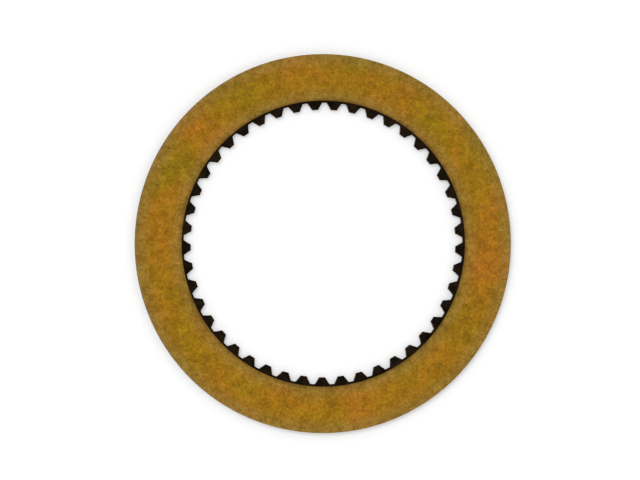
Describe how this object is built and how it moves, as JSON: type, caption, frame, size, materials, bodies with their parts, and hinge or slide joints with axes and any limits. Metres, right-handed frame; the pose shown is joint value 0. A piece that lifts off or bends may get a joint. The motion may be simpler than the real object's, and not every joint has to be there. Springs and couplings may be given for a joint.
{
  "type": "clutch friction disc",
  "caption": "Flat ring-shaped clutch disc: a thin steel core plate with internal spline teeth and a bonded friction facing on each side, for an oil-cooled multi-plate clutch.",
  "frame": {"origin": "centre of the disc on its axis, midway through the thickness of the core plate", "axes": "+Z along the disc's axis, out of the front facing; +X through the middle of one spline tooth"},
  "size_m": [0.1584, 0.1584, 0.0032],
  "materials": {
    "core_steel": "satin",
    "friction_paper": "matte"
  },
  "bodies": {
    "root": {"core_plate": "core_steel", "front_facing": "friction_paper", "back_facing": "friction_paper"}
  },
  "joints": []
}
